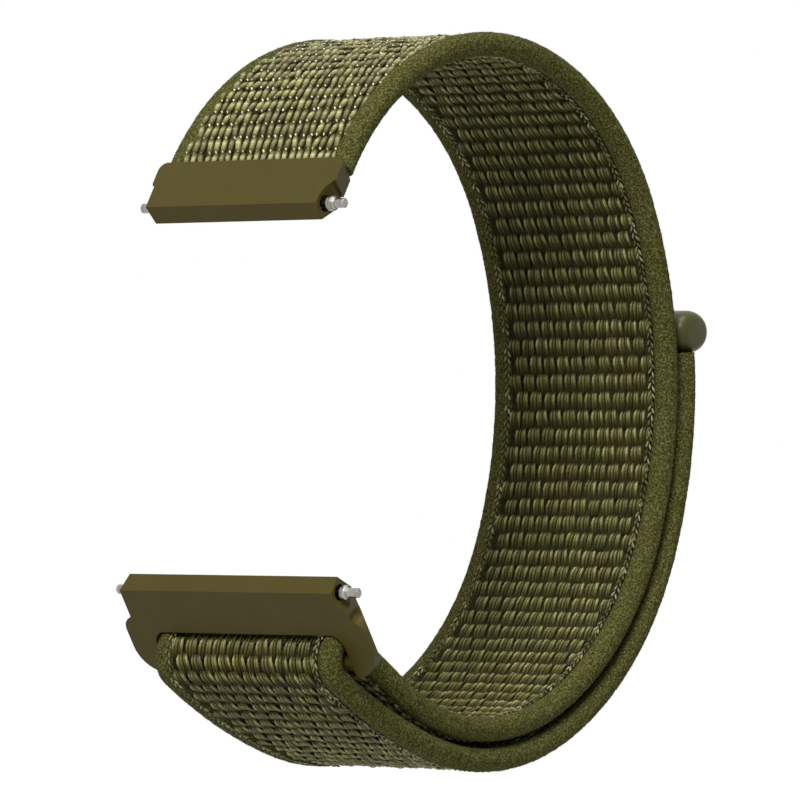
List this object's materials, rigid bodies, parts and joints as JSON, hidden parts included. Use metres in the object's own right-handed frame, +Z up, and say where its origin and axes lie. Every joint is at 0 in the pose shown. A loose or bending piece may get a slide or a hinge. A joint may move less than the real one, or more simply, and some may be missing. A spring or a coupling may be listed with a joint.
{
  "type": "watch band",
  "caption": "Woven hook-and-loop watch band, closed in a loop, with a fixed connector, a slotted swivel connector and sprung bars.",
  "frame": {"origin": "centre of the wrist opening, half way along the strap's width", "axes": "+Z up, from the lower connector to the upper one; -X toward the watch; Y along the strap's width, with the near edge at -Y"},
  "size_m": [0.0526, 0.0256, 0.0612],
  "materials": {
    "woven_nylon": "woven, matt",
    "edge_piping": "soft nap, matt",
    "connector_paint": "smooth satin paint",
    "bar_steel": "turned, satin",
    "spring_steel": "drawn wire",
    "hook_tape": "hook tape, matt",
    "tab_plastic": "moulded, satin"
  },
  "bodies": {
    "loop": {"upper_connector": "connector_paint", "strap_anchor_rod": "spring_steel", "strap_loop": "woven_nylon", "loop_piping_near": "edge_piping", "loop_piping_far": "edge_piping"},
    "upper_bar": {"upper_bar_barrel": "bar_steel", "upper_bar_spring": "spring_steel"},
    "upper_tip_near": {"upper_bar_tip_near": "bar_steel"},
    "upper_tip_far": {"upper_bar_tip_far": "bar_steel"},
    "buckle": {"lower_connector": "connector_paint"},
    "lower_bar": {"lower_bar_barrel": "bar_steel", "lower_bar_spring": "spring_steel"},
    "lower_tip_near": {"lower_bar_tip_near": "bar_steel"},
    "lower_tip_far": {"lower_bar_tip_far": "bar_steel"},
    "tail_1": {"tail_weave_1": "woven_nylon", "tail_piping_near_1": "edge_piping", "tail_piping_far_1": "edge_piping"},
    "tail_2": {"tail_weave_2": "woven_nylon", "tail_piping_near_2": "edge_piping", "tail_piping_far_2": "edge_piping"},
    "tail_3": {"tail_weave_3": "woven_nylon", "tail_piping_near_3": "edge_piping", "tail_piping_far_3": "edge_piping", "hook_patch": "hook_tape", "end_tab": "tab_plastic"}
  },
  "joints": [
    {"name": "upper_bar_spin", "type": "hinge", "parent": "loop", "child": "upper_bar", "pos_m": [-0.02164, 0, 0.01439], "axis": [0, 1, 0], "continuous": true},
    {"name": "upper_tip_near_slide", "type": "slide", "parent": "upper_bar", "child": "upper_tip_near", "axis": [0, 1, 0], "range_m": [0, 0.0011], "stiffness_N_per_m": 800, "springref_m": -0.0015, "deforming": ["upper_bar_spring"]},
    {"name": "upper_tip_far_slide", "type": "slide", "parent": "upper_bar", "child": "upper_tip_far", "axis": [0, -1, 0], "range_m": [0, 0.0011], "stiffness_N_per_m": 800, "springref_m": -0.0015, "deforming": ["upper_bar_spring"]},
    {"name": "buckle_swivel", "type": "hinge", "parent": "loop", "child": "buckle", "pos_m": [-0.0193, 0, -0.02239], "axis": [0, 1, 0], "range_deg": [-90, 40]},
    {"name": "lower_bar_spin", "type": "hinge", "parent": "buckle", "child": "lower_bar", "pos_m": [-0.02237, 0, -0.01682], "axis": [0, 1, 0], "continuous": true},
    {"name": "lower_tip_near_slide", "type": "slide", "parent": "lower_bar", "child": "lower_tip_near", "axis": [0, 1, 0], "range_m": [0, 0.0011], "stiffness_N_per_m": 800, "springref_m": -0.0015, "deforming": ["lower_bar_spring"]},
    {"name": "lower_tip_far_slide", "type": "slide", "parent": "lower_bar", "child": "lower_tip_far", "axis": [0, -1, 0], "range_m": [0, 0.0011], "stiffness_N_per_m": 800, "springref_m": -0.0015, "deforming": ["lower_bar_spring"]},
    {"name": "tail_peel_1", "type": "hinge", "parent": "loop", "child": "tail_1", "pos_m": [-0.00815, 0, -0.03084], "axis": [0, 1, 0], "range_deg": [0, 30]},
    {"name": "tail_peel_2", "type": "hinge", "parent": "tail_1", "child": "tail_2", "pos_m": [0.00892, 0, -0.03015], "axis": [0, 1, 0], "range_deg": [0, 40]},
    {"name": "tail_peel_3", "type": "hinge", "parent": "tail_2", "child": "tail_3", "pos_m": [0.02442, 0, -0.01452], "axis": [0, 1, 0], "range_deg": [0, 50]}
  ]
}
